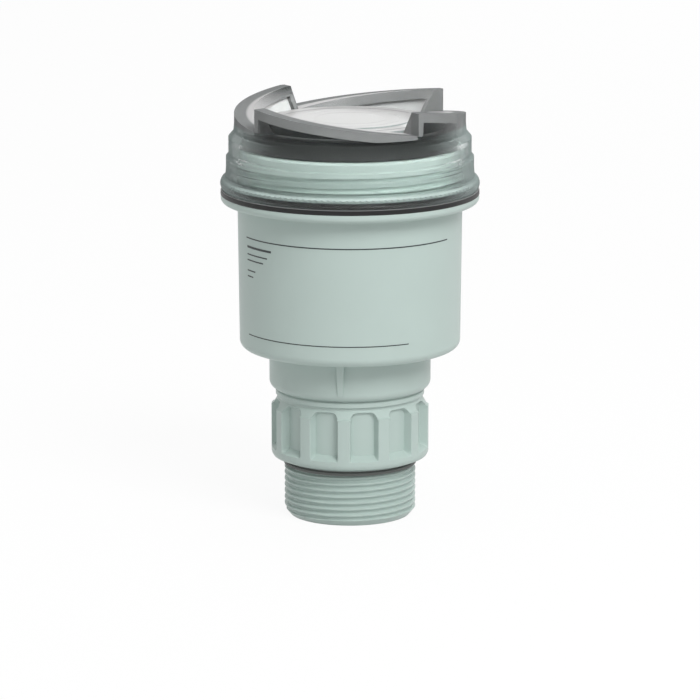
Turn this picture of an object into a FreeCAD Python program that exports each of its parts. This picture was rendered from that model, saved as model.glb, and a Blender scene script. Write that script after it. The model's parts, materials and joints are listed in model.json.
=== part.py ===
import FreeCAD, Part
import math
import os

# Compact radar level transmitter.
# Millimetres, +Z up, viewer on the -Y side. The origin is on the axis at the
# underside of the process seal, the plane that meets the vessel's socket.

# Process thread G 1 1/2 and its seal
thread_r = 23.9
thread_length = 18.9
thread_end_depth = 2.0
thread_end_chamfer = 2.4
seal_seat_depth = 0.7
seal_thickness = 2.0
seal_width = 1.15
seal_clearance = 0.15  # over the thread's crests

# Grip collar above the thread
collar_height = 25.7
collar_base_chamfer = 3.4
collar_ring_height = 6.0
collar_ledge_fall = 1.8
collar_core_wall = 3.9  # outside the swivel's bore
collar_top_reach = 1.5
collar_top_height = 2.8
rib_count = 12
rib_width = 5.0
rib_first_deg = -94.5
rib_reach = 3.1
rib_bevel = 3.2
rib_round = 0.8

# Sleeve bore, antenna and swivel
sleeve_wall = 3.5
lens_recess = 0.4
lens_edge = 3.0
lens_crown = 4.2
lens_seat_width = 1.0
lens_clearance = 0.1
horn_wall = 1.2
horn_throat_r = 3.0
horn_foot_height = 3.2
horn_neck_height = 4.0
horn_clearance = 0.1
spigot_step = 1.2
spigot_wall = 3.6
spigot_length = 19.5
swivel_clearance = 0.08
seam_gap = 0.4
oring_section_r = 0.9
ring_section = 1.7
ring_depth = 1.2
ring_play = 0.3
ring_drop = 5.0
ring_split = 5.0

# Housing: neck, drum and lid flange
neck_overhang = 0.7
neck_edge_round = 2.9
neck_root_round = 1.4
neck_height = 15.0
neck_wall = 3.3
neck_floor = 3.6
mark_width = 3.0
mark_reach = 2.6
mark_height = 12.5
mark_deg = -96.6
drum_overhang = 11.25
drum_draft = 0.55
drum_height = 53.3
drum_round = 3.0
drum_wall = 3.0
drum_floor = 3.4
flange_reach = 6.05
flange_height = 4.1
flange_round = 1.7
flange_root_round = 1.4
ledge_width = 2.6
ledge_height = 2.6
ledge_drop = 8.0

# Screw lid
lid_gap = 0.4
lid_bead_reach = 6.2
lid_bead_height = 5.1
lid_bead_round = 1.35
lid_skirt_reach = 4.1
lid_skirt_height = 6.9
lid_wall = 2.25
lid_step = 0.9
lid_step_height = 1.1
lid_waist_height = 6.0
lid_shoulder = 1.85
lid_shoulder_height = 2.1
lid_crown_draft = 0.25
lid_rim_height = 3.1
lid_roof = 1.0
lid_plate_rise = 0.8
lid_plate_edge = 0.8
lid_window_inset = 9.5
lid_window_rise = 0.5
lid_thread_depth = 1.2
neck_thread_height = 16.4
neck_thread_wall = 3.0

# Ramp wings on the lid
wing_count = 4
wing_first_deg = 35.4
wing_rise = 8.3
wing_top_width = 4.2
wing_lean = 0.62
wing_skin = 2.2
wing_lip = 3.3
wing_low_step = 0.25
wing_sections = 7
wing_end_wall_deg = 3.0

# Lid seal, an O-ring carried in the lid
lid_seal_inset = 0.45
lid_seal_section_r = 1.25
lid_seal_play = 0.3

# Electronics insert in the drum
fit_gap = 0.3
deck_clearance = 2.5  # under the gland's thread
insert_wall = 1.8
insert_deck = 2.0
insert_screw_r = 1.5
insert_screw_head_r = 3.0
insert_screw_head_height = 2.2
insert_screw_inset = 7.0
insert_column_r = 3.6
screw_clearance = 0.2
board_thickness = 1.6
chip_size = 14.0
chip_height = 2.0
chip_x = -8.0
chip_y = 4.0
transformer_length = 10.0
transformer_depth = 12.0
transformer_x = 14.0
transformer_y = -10.0
inductor_r = 4.0
tall_part_gap = 2.6  # under the insert's deck
inductor_x = 12.0
inductor_y = 14.0
module_side_gap = 3.0
module_flange_gap = 1.0
module_flange_thickness = 2.4
module_nose_step = 1.5
header_length = 12.0
header_depth = 5.0
header_gap = 3.8  # under the main board
header_y = 6.0

# Terminals and contacts on the insert's deck
terminal_length = 32.0
terminal_depth = 14.0
terminal_height = 12.0
terminal_offset = 16.0  # behind the contact post
terminal_hole = 2.8
terminal_hole_depth = 8.0
terminal_count = 4
ground_offset = 8.0  # from the screw's axis
ground_y = 6.0
ground_size = 6.0
ground_height = 8.0
contact_width = 16.0
contact_depth = 5.0
contact_inset = 8.0
contact_pin_r = 0.8
contact_pin_height = 1.2
contact_count = 4

# Display and adjustment module
display_wall = 1.8
display_base_floor = 2.0
display_ring_height = 6.4
display_lid_gap = 0.5
display_side_gap = 0.9
display_face_r = 27.0
display_face_drop = 0.9
display_face_thickness = 1.5
display_ring_thickness = 1.8
panel_side_gap = 10.0
panel_front = 0.5
panel_window_margin = 1.5
key_r = 2.9
key_clearance = 0.3
key_flange = 0.9
key_flange_thickness = 1.2
key_edge_gap = 6.9
key_row_deg = 34.9  # of the outer keys, from the x axis
key_proud = 0.6
key_travel = 0.6
key_names = ("ok", "next", "plus", "back")

# Cable gland M20 at the back
gland_drop = 16.7  # under the flange
boss_r = 14.0
boss_reach = 6.0
gland_thread_r = 9.9
gland_thread_fit = 0.1
gland_bore_r = 6.2
gland_mouth_r = 7.4
gland_mouth_depth = 9.0
gland_reach_in = 4.0  # into the drum, past its wall
gland_across_flats = 24.0
gland_hex_height = 5.0
gland_stub_r = 8.9
gland_stub_height = 7.6
gland_gasket_thickness = 1.4
gland_gasket_width = 2.6
gland_insert_bore_r = 4.2
gland_insert_nose = 2.6
gland_play = 0.3
nut_height = 13.6
nut_hex_height = 8.0
nut_across_flats = 23.0
nut_mouth_r = 6.0
nut_nose_r = 8.6
nut_nose_thickness = 1.8

# Levels along the axis, from the bottom up
thread_end_z = -thread_length
collar_z = seal_thickness
collar_top_z = collar_z + collar_height
neck_z = collar_top_z + seam_gap
drum_z = neck_z + neck_height
flange_z = drum_z + drum_height
flange_top_z = flange_z + flange_height
lid_z = flange_top_z + lid_gap
lid_skirt_z = lid_z + lid_bead_height
lid_step_z = lid_skirt_z + lid_skirt_height
lid_waist_z = lid_step_z + lid_step_height
lid_shoulder_z = lid_waist_z + lid_waist_height
lid_crown_z = lid_shoulder_z + lid_shoulder_height
lid_rim_z = lid_crown_z + lid_rim_height
lid_ceiling_z = lid_rim_z - lid_roof
wing_top_z = lid_rim_z + wing_rise
neck_floor_z = neck_z + neck_floor
drum_floor_z = drum_z + drum_floor
mouth_z = flange_top_z + neck_thread_height
ledge_z = mouth_z - ledge_drop
insert_z = drum_floor_z + fit_gap
gland_z = flange_z - gland_drop
deck_z = gland_z - gland_thread_r - deck_clearance
spigot_z = neck_z - spigot_length
lens_low_z = thread_end_z + lens_recess
lens_seat_z = lens_low_z + lens_edge
horn_top_z = spigot_z - horn_clearance

# Radii that follow from others, from the thread outwards
seal_inner_r = thread_r + seal_clearance
seal_outer_r = seal_inner_r + seal_width
collar_base_r = seal_outer_r + 0.1
lens_bore_r = thread_r - sleeve_wall
spigot_r = lens_bore_r + spigot_step
collar_core_r = spigot_r + collar_core_wall
collar_top_r = collar_core_r + collar_top_reach
collar_r = collar_core_r + rib_reach
neck_r = collar_r + neck_overhang
drum_top_r = neck_r + drum_overhang
drum_base_r = drum_top_r - drum_draft
cavity_r = drum_base_r - drum_wall
neck_cavity_r = neck_r - neck_wall
flange_r = drum_top_r + flange_reach
lid_bead_r = drum_top_r + lid_bead_reach
lid_skirt_r = drum_top_r + lid_skirt_reach
lid_seal_r = lid_skirt_r - lid_seal_inset
lid_inner_r = lid_skirt_r - lid_wall
waist_r = lid_skirt_r - lid_step
crown_r = waist_r - lid_shoulder
rim_r = crown_r - lid_crown_draft
crown_inner_r = rim_r - lid_wall + 0.5
wing_inner_r = rim_r - wing_top_width
wing_foot_r = wing_inner_r - wing_lean * wing_rise
lid_plate_r = wing_foot_r - lid_plate_edge
lid_window_r = lid_plate_r - lid_window_inset
mouth_outer_r = lid_inner_r - lid_thread_depth
mouth_inner_r = mouth_outer_r - neck_thread_wall
ledge_r = cavity_r - ledge_width
spigot_bore_r = spigot_r - spigot_wall
sleeve_bore_r = lens_bore_r - lens_seat_width
horn_foot_r = sleeve_bore_r - lens_clearance
horn_mouth_r = horn_foot_r - horn_wall
display_r = mouth_inner_r - fit_gap
display_ring_r = crown_inner_r - display_side_gap
module_r = neck_cavity_r - module_side_gap
module_flange_r = neck_cavity_r - module_flange_gap

# Places on the display's face
panel_width = display_face_r - panel_side_gap
panel_length = 2 * panel_width
panel_y = panel_width / 2 - panel_front
key_circle_r = display_face_r - key_edge_gap
key_pitch = 2 * key_circle_r * math.cos(math.radians(key_row_deg)) / (len(key_names) - 1)
key_y = -key_circle_r * math.sin(math.radians(key_row_deg))

# Places on the insert's deck
insert_screw_x = cavity_r - insert_screw_inset
ground_x = insert_screw_x - ground_offset
contact_y = contact_inset - cavity_r
terminal_y = contact_y + terminal_offset

# Levels of the display module
display_z = ledge_z + fit_gap
display_top_z = lid_ceiling_z - display_lid_gap
display_ring_z = display_top_z - display_ring_height
display_face_z = display_top_z - display_face_drop
display_board_z = display_ring_z

# Stations along the gland's axis, measured from the part's axis
boss_end_y = drum_top_r + boss_reach
hex_y = boss_end_y + gland_gasket_thickness
stub_y = hex_y + gland_hex_height
stub_end_y = stub_y + gland_stub_height
nut_y = stub_y + gland_play
nut_end_y = nut_y + nut_height

ORIGIN = FreeCAD.Vector(0, 0, 0)
UP = FreeCAD.Vector(0, 0, 1)
BACK = FreeCAD.Vector(0, 1, 0)


def vector(x, y, z):
    return FreeCAD.Vector(x, y, z)


def outline(start, steps):
    # A closed wire in the XZ plane. A step is the next corner (r, z), or a pair
    # of a point on an arc and the arc's end.
    first = vector(start[0], 0, start[1])
    here = first
    edges = []
    for step in steps:
        if isinstance(step[0], tuple):
            through = vector(step[0][0], 0, step[0][1])
            there = vector(step[1][0], 0, step[1][1])
            edges.append(Part.Arc(here, through, there).toShape())
        else:
            there = vector(step[0], 0, step[1])
            edges.append(Part.makeLine(here, there))
        here = there
    edges.append(Part.makeLine(here, first))
    return Part.Wire(edges)


def upright(shape):
    # A solid whose faces point outwards.
    if shape.Volume < 0:
        shape.reverse()
    return shape


def turned(start, steps, angle=360):
    face = Part.Face(outline(start, steps))
    return upright(face.revolve(ORIGIN, UP, angle))


def disc(radius, low, high):
    return Part.makeCylinder(radius, high - low, vector(0, 0, low))


def ring(inner, outer, low, high):
    return disc(outer, low, high).cut(disc(inner, low - 1, high + 1))


def rod(radius, start_y, end_y, height):
    # A cylinder along +Y, from one station to another.
    return Part.makeCylinder(radius, end_y - start_y, vector(0, start_y, height), BACK)


def block(length, depth, height, x, y, low):
    # A box centred on x and y that stands on the level low.
    corner = vector(x - length / 2, y - depth / 2, low)
    return Part.makeBox(length, depth, height, corner)


def oring(radius, section, height):
    return Part.makeTorus(radius, section, vector(0, 0, height), UP)


def spun(shape, degrees):
    copy = shape.copy()
    copy.rotate(ORIGIN, UP, degrees)
    return copy


def rounded(shape, radius, wanted):
    # Fillets each edge that the test function picks.
    edges = [edge for edge in shape.Edges if wanted(edge)]
    return shape.makeFillet(radius, edges)


def hexagon(across_flats, start_y, end_y, height):
    # A six-sided bar along +Y with a flat side down.
    corner_r = across_flats / math.sqrt(3)
    corners = []
    for index in range(7):
        angle = math.radians(60 * index)
        corners.append(vector(corner_r * math.cos(angle), start_y, height + corner_r * math.sin(angle)))
    return Part.Face(Part.makePolygon(corners)).extrude(vector(0, end_y - start_y, 0))


def along_gland(shape):
    # Turns a shape made about +Z so that it lies along the gland's axis.
    copy = shape.copy()
    copy.rotate(ORIGIN, vector(1, 0, 0), -90)
    copy.translate(vector(0, 0, gland_z))
    return copy


def collar_rib():
    # One grip rib: a bar with rounded outer edges and a bevelled top.
    low = collar_z + collar_ring_height - 1
    top_z = collar_top_z - collar_top_height
    high = top_z + 0.5
    root_r = collar_core_r - 1
    profile = outline(
        (root_r, low),
        [
            (collar_r, low),
            (collar_r, top_z - rib_bevel),
            (collar_core_r + rib_bevel / 3, high),
            (root_r, high),
        ],
    )
    profile.translate(vector(0, -rib_width / 2, 0))
    bar = upright(Part.Face(profile).extrude(vector(0, rib_width, 0)))

    def outer_side(edge):
        middle = edge.CenterOfMass
        upright_edge = abs(edge.tangentAt(edge.FirstParameter).y) < 0.5
        return upright_edge and middle.x > collar_core_r + rib_bevel / 3 and middle.z > low + 0.1

    return rounded(bar, rib_round, outer_side)


def process_fitting():
    # Threaded sleeve and grip collar, moulded as one. The thread is a plain
    # cylinder at its major radius.
    groove_low, groove_high = retaining_groove()
    top_z = collar_top_z - collar_top_height
    body = turned(
        (lens_bore_r, thread_end_z),
        [
            (thread_r - thread_end_depth, thread_end_z),
            (thread_r, thread_end_z + thread_end_chamfer),
            (thread_r, 0),
            (thread_r - seal_seat_depth, 0),
            (thread_r - seal_seat_depth, collar_z),
            (collar_base_r, collar_z),
            (collar_r, collar_z + collar_base_chamfer),
            (collar_r, collar_z + collar_ring_height - collar_ledge_fall),
            (collar_core_r, collar_z + collar_ring_height),
            (collar_core_r, top_z - 1.0),
            (collar_top_r - 0.3, top_z),
            (collar_top_r, top_z + 0.4),
            (collar_top_r, collar_top_z - 0.5),
            (collar_top_r - 0.5, collar_top_z),
            (spigot_r, collar_top_z),
            (spigot_r, groove_high),
            (spigot_r + ring_depth + ring_play, groove_high),
            (spigot_r + ring_depth + ring_play, groove_low),
            (spigot_r, groove_low),
            (spigot_r, spigot_z - 1.0),
            (sleeve_bore_r, spigot_z - 1.0),
            (sleeve_bore_r, lens_seat_z),
            (lens_bore_r, lens_seat_z),
        ],
    )
    rib = collar_rib()
    ribs = [spun(rib, rib_first_deg + 360 * index / rib_count) for index in range(rib_count)]
    return body.fuse(ribs).removeSplitter()


def retaining_groove():
    # The levels of the groove that the retaining ring snaps into.
    middle = collar_top_z - ring_drop
    half = ring_section / 2 + ring_play
    return middle - half, middle + half


def process_seal():
    return ring(seal_inner_r, seal_outer_r, 0, seal_thickness)


def antenna_lens():
    # A plastic lens that closes the sleeve's end, flat outside and domed inside.
    # Its flat edge carries the horn and meets the sleeve's seat.
    edge_r = lens_bore_r - lens_clearance
    base_r = horn_mouth_r - lens_clearance
    dome_r = (base_r ** 2 + lens_crown ** 2) / (2 * lens_crown)
    centre_z = lens_seat_z + lens_crown - dome_r
    half_z = centre_z + math.sqrt(dome_r ** 2 - (base_r / 2) ** 2)
    return turned(
        (0, lens_low_z),
        [
            (edge_r, lens_low_z),
            (edge_r, lens_seat_z),
            (base_r, lens_seat_z),
            ((base_r / 2, half_z), (0, lens_seat_z + lens_crown)),
        ],
    )


def antenna_horn():
    # A turned cone that widens from the wave guide to the sleeve's bore and
    # stands on the lens's edge.
    foot_z = lens_seat_z + horn_foot_height
    neck_low_z = horn_top_z - horn_neck_height
    return turned(
        (horn_mouth_r, lens_seat_z),
        [
            (horn_foot_r, lens_seat_z),
            (horn_foot_r, foot_z + horn_wall),
            (horn_throat_r + horn_wall, neck_low_z),
            (horn_throat_r + horn_wall, horn_top_z),
            (horn_throat_r, horn_top_z),
            (horn_throat_r, neck_low_z),
            (horn_mouth_r, foot_z),
        ],
    )


def swivel_oring_z():
    return spigot_z + 4.0


def swivel_seal():
    outer = spigot_r - fit_gap
    return oring(outer - oring_section_r, oring_section_r, swivel_oring_z())


def retaining_ring():
    # A split spring ring, half in the spigot and half in the collar.
    low, high = retaining_groove()
    body = ring(spigot_r - ring_depth, spigot_r + ring_depth, low + ring_play, high - ring_play)
    gap = block(ring_split, 4 * ring_depth, high - low, 0, spigot_r, low)
    return body.cut(gap)


def mark_rib():
    # A small wedge under the drum that marks the wave's plane on the neck.
    half_top = mark_width / 2
    half_low = mark_width / 3
    high = drum_z + 1
    low = high - mark_height - 1
    root = neck_r - 1
    top = Part.makePolygon(
        [
            vector(root, -half_top, high),
            vector(neck_r + mark_reach, -half_top, high),
            vector(neck_r + mark_reach, half_top, high),
            vector(root, half_top, high),
            vector(root, -half_top, high),
        ]
    )
    foot = Part.makePolygon(
        [
            vector(root, -half_low, low),
            vector(neck_r + 0.2, -half_low, low),
            vector(neck_r + 0.2, half_low, low),
            vector(root, half_low, low),
            vector(root, -half_low, low),
        ]
    )
    return spun(upright(Part.makeLoft([top, foot], True, True)), mark_deg)


def housing():
    # Drum, neck, swivel spigot, lid thread and gland boss, moulded as one.
    groove_low, groove_high = retaining_groove()
    seal_low = swivel_oring_z() - oring_section_r - 0.2
    seal_high = swivel_oring_z() + oring_section_r + 0.2
    seal_floor_r = spigot_r - fit_gap - 2 * oring_section_r - 0.1
    plug_r = spigot_r - swivel_clearance
    bead_r = flange_round
    turn = math.sqrt(0.5)
    outer = turned(
        (0, spigot_z),
        [
            (plug_r - 0.8, spigot_z),
            (plug_r, spigot_z + 0.8),
            (plug_r, seal_low),
            (seal_floor_r, seal_low),
            (seal_floor_r, seal_high),
            (plug_r, seal_high),
            (plug_r, groove_low),
            (spigot_r - ring_depth - 0.1, groove_low),
            (spigot_r - ring_depth - 0.1, groove_high),
            (plug_r, groove_high),
            (plug_r, neck_z),
            (neck_r - neck_edge_round, neck_z),
            (
                (neck_r - neck_edge_round * (1 - turn), neck_z + neck_edge_round * (1 - turn)),
                (neck_r, neck_z + neck_edge_round),
            ),
            (neck_r, drum_z - neck_root_round),
            (
                (neck_r + neck_root_round * (1 - turn), drum_z - neck_root_round * (1 - turn)),
                (neck_r + neck_root_round, drum_z),
            ),
            (drum_base_r - drum_round, drum_z),
            (
                (drum_base_r - drum_round * (1 - turn), drum_z + drum_round * (1 - turn)),
                (drum_base_r, drum_z + drum_round),
            ),
            (drum_top_r, flange_z - flange_root_round),
            (
                (drum_top_r + flange_root_round * (1 - turn), flange_z - flange_root_round * (1 - turn)),
                (drum_top_r + flange_root_round, flange_z),
            ),
            (flange_r - bead_r, flange_z),
            (
                (flange_r - bead_r * (1 - turn), flange_z + bead_r * (1 - turn)),
                (flange_r, flange_z + bead_r),
            ),
            (flange_r, flange_top_z - bead_r),
            (
                (flange_r - bead_r * (1 - turn), flange_top_z - bead_r * (1 - turn)),
                (flange_r - bead_r, flange_top_z),
            ),
            (mouth_outer_r, flange_top_z),
            (mouth_outer_r, mouth_z - 0.8),
            (mouth_outer_r - 0.8, mouth_z),
            (0, mouth_z),
        ],
    )
    boss = rod(boss_r, cavity_r - 2, boss_end_y, gland_z)
    hollow = turned(
        (0, spigot_z - 1),
        [
            (spigot_bore_r, spigot_z - 1),
            (spigot_bore_r, neck_floor_z),
            (neck_cavity_r, neck_floor_z),
            (neck_cavity_r, drum_floor_z),
            (cavity_r, drum_floor_z),
            (cavity_r, ledge_z - ledge_height - ledge_width),
            (ledge_r, ledge_z - ledge_height),
            (ledge_r, ledge_z),
            (mouth_inner_r, ledge_z),
            (mouth_inner_r, mouth_z + 1),
            (0, mouth_z + 1),
        ],
    )
    body = outer.fuse([boss, mark_rib()]).cut(hollow)
    passage_y = cavity_r - 2 * gland_reach_in
    body = body.cut(rod(gland_thread_r + gland_thread_fit, passage_y, boss_end_y + 1, gland_z))
    for side in (-1, 1):
        hole = Part.makeCylinder(
            insert_screw_r + 0.05,
            screw_depth() + 0.4,
            vector(side * insert_screw_x, 0, drum_floor_z - screw_depth() - 0.4),
        )
        body = body.cut(hole)
    return body.removeSplitter()


def screw_depth():
    # How far the insert's screws reach into the drum's floor.
    return drum_floor - 1.2


def microwave_module():
    # A stepped can: its nose fills the spigot's bore down to the horn, its
    # flange stands on the neck's floor.
    nose_r = spigot_bore_r - fit_gap
    nose_z = horn_top_z + 0.2
    can_z = drum_floor_z - 1
    can = disc(module_r, neck_floor_z, can_z)
    flange = disc(module_flange_r, neck_floor_z, neck_floor_z + module_flange_thickness)
    nose = disc(nose_r, spigot_z + module_nose_step, neck_floor_z)
    guide = disc(horn_throat_r + horn_wall, nose_z, spigot_z + module_nose_step)
    header = block(header_length, header_depth, main_board_z() - header_gap - can_z, 0, header_y, can_z)
    return guide.fuse([nose, flange, can, header]).removeSplitter()


def electronics_insert():
    # An inverted cup that covers the main board and carries the terminals.
    outer_r = cavity_r - fit_gap
    shell = disc(outer_r, insert_z, deck_z)
    shell = shell.cut(disc(outer_r - insert_wall, insert_z - 1, deck_z - insert_deck))
    ledge_high = main_board_z()
    ledge = ring(outer_r - insert_wall - 2.0, outer_r - insert_wall + 0.2, ledge_high - 2.0, ledge_high)
    parts = [ledge]
    height = deck_z - insert_z
    for side in (-1, 1):
        x = side * insert_screw_x
        parts.append(Part.makeCylinder(insert_column_r, height, vector(x, 0, insert_z)))
    shell = shell.fuse(parts)
    for side in (-1, 1):
        x = side * insert_screw_x
        shell = shell.cut(
            Part.makeCylinder(insert_screw_r + screw_clearance, height + 2, vector(x, 0, insert_z - 1))
        )
    return shell.removeSplitter()


def main_board_z():
    # The underside of the main board, halfway up the insert.
    return (insert_z + deck_z - insert_deck) / 2


def main_board():
    # A round board with corners cut out for the screw columns.
    board_r = cavity_r - fit_gap - insert_wall - fit_gap
    low = main_board_z()
    board = disc(board_r, low, low + board_thickness)
    for side in (-1, 1):
        relief = Part.makeCylinder(
            insert_column_r + fit_gap, board_thickness + 2, vector(side * insert_screw_x, 0, low - 1)
        )
        board = board.cut(relief)
    top = low + board_thickness
    tall = deck_z - insert_deck - tall_part_gap - top
    chip = block(chip_size, chip_size, chip_height, chip_x, chip_y, top)
    transformer = block(transformer_length, transformer_depth, tall, transformer_x, transformer_y, top)
    inductor = Part.makeCylinder(inductor_r, tall, vector(inductor_x, inductor_y, top))
    return board.fuse([chip, transformer, inductor]).removeSplitter()


def insert_screws():
    screws = []
    for side in (-1, 1):
        x = side * insert_screw_x
        low = drum_floor_z - screw_depth()
        shank = Part.makeCylinder(insert_screw_r, deck_z - low, vector(x, 0, low))
        head = Part.makeCylinder(insert_screw_head_r, insert_screw_head_height, vector(x, 0, deck_z))
        slot = block(1.0, 3.6, 1.3, x, 0, deck_z + insert_screw_head_height - 1.2)
        cross = block(3.6, 1.0, 1.3, x, 0, deck_z + insert_screw_head_height - 1.2)
        screws.append(shank.fuse(head).cut(slot).cut(cross))
    return Part.makeCompound(screws)


def terminal_block():
    # Spring-clamp terminals: each has a wire hole and a release slot.
    body = block(terminal_length, terminal_depth, terminal_height, 0, terminal_y, deck_z)
    body = rounded(body, 0.8, lambda edge: edge.CenterOfMass.z > deck_z + terminal_height / 2)
    pitch = terminal_length / terminal_count
    for index in range(terminal_count):
        x = (index - (terminal_count - 1) / 2) * pitch
        top = deck_z + terminal_height
        wire = block(
            terminal_hole, terminal_hole, terminal_hole_depth + 1, x, terminal_y + terminal_depth / 5,
            top - terminal_hole_depth,
        )
        slot = block(
            terminal_hole * 1.2, terminal_hole * 0.5, terminal_hole_depth / 2 + 1, x,
            terminal_y - terminal_depth / 5, top - terminal_hole_depth / 2,
        )
        body = body.cut(wire).cut(slot)
    return body


def ground_terminal():
    # An earth clamp: a metal block with a cross hole and a clamping screw.
    body = block(ground_size, ground_size, ground_height, ground_x, ground_y, deck_z)
    hole = Part.makeCylinder(
        1.6, ground_size + 2, vector(ground_x, ground_y - ground_size / 2 - 1, deck_z + ground_height * 0.4), BACK
    )
    screw = Part.makeCylinder(2.2, 2.0, vector(ground_x, ground_y, deck_z + ground_height - 0.5))
    slot = block(0.8, 5.0, 1.0, ground_x, ground_y, deck_z + ground_height + 0.8)
    return body.cut(hole).fuse(screw).cut(slot)


def contact_post():
    # A post with four spring pins that meet the display module's back.
    high = display_z - contact_pin_height - 0.2
    post = block(contact_width, contact_depth, high - deck_z, 0, contact_y, deck_z)
    pins = []
    pitch = contact_width / contact_count
    for index in range(contact_count):
        x = (index - (contact_count - 1) / 2) * pitch
        pins.append(Part.makeCylinder(contact_pin_r, contact_pin_height, vector(x, contact_y, high)))
    return post.fuse(pins)


def display_base():
    # The module's back shell, a cup that stands on the housing's ledge.
    shell = disc(display_r, display_z, display_board_z)
    pocket = disc(display_r - display_wall, display_z + display_base_floor, display_board_z + 1)
    return shell.cut(pocket)


def display_board():
    board_r = display_ring_r - display_wall - fit_gap
    return disc(board_r, display_board_z, display_board_z + board_thickness)


def display_ring():
    # The dark cover ring, seen through the lid's wall.
    low = display_board_z + 0.1
    inner_r = display_ring_r - display_wall
    roof_z = display_top_z - display_ring_thickness
    return turned(
        (inner_r, low),
        [
            (display_ring_r, low),
            (display_ring_r, display_top_z - 1.0),
            (display_ring_r - 1.0, display_top_z),
            (display_face_r + display_face_drop, display_top_z),
            (display_face_r + 0.1, display_face_z),
            (display_face_r + 0.1, roof_z),
            (inner_r, roof_z),
        ],
    )


def key_places():
    places = []
    for index, name in enumerate(key_names):
        places.append((name, (index - (len(key_names) - 1) / 2) * key_pitch))
    return places


def display_face():
    # The pale face with the panel's window and four key holes.
    low = display_face_z - display_face_thickness
    face = disc(display_face_r, low, display_face_z)
    margin = panel_window_margin
    window = block(panel_length - 2 * margin, panel_width - 2 * margin, 4, 0, panel_y, low - 1)
    face = face.cut(window)
    for name, x in key_places():
        face = face.cut(Part.makeCylinder(key_r + key_clearance, 4, vector(x, key_y, low - 1)))
    rim = ring(display_face_r - 2.2, display_face_r, display_board_z + board_thickness, low)
    return face.fuse(rim).removeSplitter()


def display_panel():
    # The liquid crystal cell with its light guide, between board and face.
    low = display_board_z + board_thickness
    high = display_face_z - display_face_thickness
    return block(panel_length, panel_width, high - low, 0, panel_y, low)


def display_key(x):
    # A round cap with a retaining flange below the face.
    flange_top = display_face_z - display_face_thickness - 0.1
    low = display_board_z + board_thickness + key_travel + 0.1
    top = display_face_z + key_proud
    cap = turned(
        (0, low),
        [
            (key_r * 0.6, low),
            (key_r * 0.6, flange_top - key_flange_thickness),
            (key_r + key_flange, flange_top - key_flange_thickness),
            (key_r + key_flange, flange_top),
            (key_r, flange_top),
            (key_r, top - 0.4),
            (key_r - 0.4, top),
            (0, top),
        ],
    )
    cap.translate(vector(x, key_y, 0))
    return cap


def sector_section(share, corners):
    # A closed polygon of (r, z) corners, stood at this share of a wing's sector.
    angle = math.radians(360 / wing_count * share)
    points = [vector(r * math.cos(angle), r * math.sin(angle), z) for r, z in corners]
    return Part.makePolygon(points + points[:1])


def above_ramp(high_z, low_z, inner_r):
    # All the space over a helical ramp that falls from high_z to low_z.
    outer_r = lid_bead_r + 4
    top = wing_top_z + 3
    sections = []
    for index in range(wing_sections):
        share = index / (wing_sections - 1)
        level = high_z + (low_z - high_z) * share
        corners = [(inner_r, level), (outer_r, level), (outer_r, top), (inner_r, top)]
        sections.append(sector_section(share, corners))
    return upright(Part.makeLoft(sections, True, False))


def wing_hollow():
    # The space under a wing, open to the lid's inside.
    base = lid_ceiling_z - 1.0
    top = wing_top_z - wing_lip
    low_r = wing_inner_r - wing_lean * (wing_top_z - base) + wing_skin
    top_r = wing_inner_r - wing_lean * (wing_top_z - top) + wing_skin
    angle = 360 / wing_count - 2 * wing_end_wall_deg
    section = [(crown_inner_r, base), (crown_inner_r, top), (top_r, top)]
    hollow = spun(turned((low_r, base), section, angle), wing_end_wall_deg)
    roof = above_ramp(top + 0.1, lid_ceiling_z - 0.1, low_r - 5)
    return hollow.cut(roof)


def housing_lid():
    # A clear screw lid: bead, skirt, stepped wall, window plate and ramp wings.
    turn = math.sqrt(0.5)
    bead_in = lid_bead_r - lid_bead_round
    groove_in = lid_seal_r - lid_seal_section_r - lid_seal_play
    groove_out = lid_seal_r + lid_seal_section_r + lid_seal_play
    groove_top = lid_z + 2 * lid_seal_section_r
    plate_z = lid_rim_z + lid_plate_rise
    window_z = plate_z + lid_window_rise
    cone_z = lid_shoulder_z - lid_shoulder_height
    body = turned(
        (lid_inner_r, lid_z),
        [
            (groove_in, lid_z),
            (groove_in, groove_top),
            (groove_out, groove_top),
            (groove_out, lid_z),
            (bead_in, lid_z),
            ((lid_bead_r, lid_z + lid_bead_height / 2), (bead_in, lid_skirt_z - 0.3)),
            (lid_skirt_r + 0.25, lid_skirt_z),
            (lid_skirt_r, lid_skirt_z + lid_skirt_height / 2),
            (lid_skirt_r, lid_step_z),
            (waist_r + lid_step * (1 - turn), lid_waist_z - lid_step_height * 0.4),
            (waist_r, lid_waist_z),
            (waist_r, lid_shoulder_z),
            (crown_r + 0.15, lid_crown_z - 0.15),
            (crown_r, lid_crown_z + 0.5),
            (rim_r, lid_rim_z),
            (rim_r, wing_top_z),
            (wing_inner_r, wing_top_z),
            (wing_foot_r, lid_rim_z),
            (lid_plate_r, lid_rim_z),
            (lid_plate_r - lid_plate_rise, plate_z),
            (lid_window_r + lid_window_rise / 3, plate_z),
            (lid_window_r, window_z),
            (0, window_z),
            (0, lid_ceiling_z + lid_window_rise),
            (lid_window_r - 1.0, lid_ceiling_z + lid_window_rise),
            (lid_window_r, lid_ceiling_z),
            (crown_inner_r, lid_ceiling_z),
            (crown_inner_r, lid_shoulder_z + 0.4),
            (lid_inner_r - lid_step * 0.6, cone_z),
            (lid_inner_r - lid_step * 0.6, lid_waist_z + 0.5),
            (lid_inner_r, lid_waist_z),
        ],
    )
    air = above_ramp(wing_top_z + wing_low_step, lid_rim_z + wing_low_step, wing_foot_r - lid_plate_edge / 2)
    hollow = wing_hollow()
    for index in range(wing_count):
        degrees = wing_first_deg + 360 / wing_count * index
        body = body.cut(spun(air, degrees)).cut(spun(hollow, degrees))
    return body.removeSplitter()


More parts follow.
